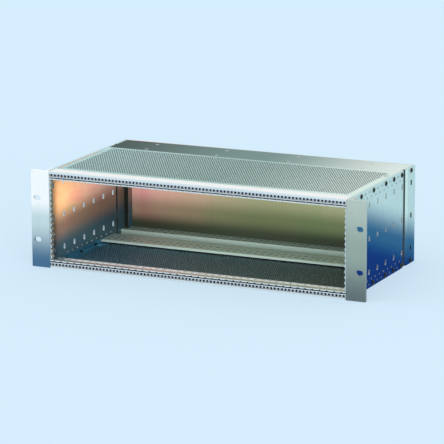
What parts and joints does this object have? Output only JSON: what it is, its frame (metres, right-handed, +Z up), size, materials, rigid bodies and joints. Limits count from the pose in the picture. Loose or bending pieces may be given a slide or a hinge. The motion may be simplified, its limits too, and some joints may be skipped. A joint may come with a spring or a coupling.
{
  "type": "subrack card cage",
  "caption": "Empty shielded card cage for a 19 inch rack, three height units: slotted flanges, side plates, guide rails, perforated covers and a plain rear panel.",
  "frame": {"origin": "middle of the base, under the middle of the whole cage", "axes": "+X across the rack, from the left flange to the right one seen from the front; +Y from the flanges to the rear panel; +Z up"},
  "size_m": [0.4826, 0.235, 0.1325],
  "materials": {
    "flange_metal": "satin, vertically brushed",
    "side_metal": "satin, clear passivated",
    "rail_metal": "bright extruded",
    "strip_metal": "zinc plated",
    "cover_metal": "satin, clear passivated",
    "rear_panel_metal": "yellow chromated",
    "contact_spring": "bright spring steel",
    "shield_strip": "dark shielding fabric over foam",
    "black_screw": "black oxide",
    "zinc_screw": "zinc plated"
  },
  "bodies": {
    "root": {"flange_left": "flange_metal", "flange_right": "flange_metal", "contact_strip_left": "contact_spring", "contact_strip_right": "contact_spring", "side_plate_left": "side_metal", "side_plate_right": "side_metal", "joint_strip_left": "shield_strip", "joint_strip_right": "shield_strip", "rear_bracket_left": "side_metal", "rear_bracket_right": "side_metal", "front_rail_bottom": "rail_metal", "front_rail_top": "rail_metal", "threaded_strip_bottom": "strip_metal", "threaded_strip_top": "strip_metal", "middle_rail_bottom": "rail_metal", "middle_rail_top": "rail_metal", "rear_rail_bottom": "rail_metal", "rear_rail_top": "rail_metal", "perforated_cover_bottom": "cover_metal", "perforated_cover_top": "cover_metal", "rear_cover_bottom": "cover_metal", "rear_cover_top": "cover_metal", "rear_panel": "rear_panel_metal", "flange_screws_left": "zinc_screw", "flange_screws_right": "zinc_screw", "side_screws_left": "black_screw", "side_screws_right": "black_screw", "cover_screws_bottom": "zinc_screw", "cover_screws_top": "zinc_screw", "panel_screws": "zinc_screw"}
  },
  "joints": []
}
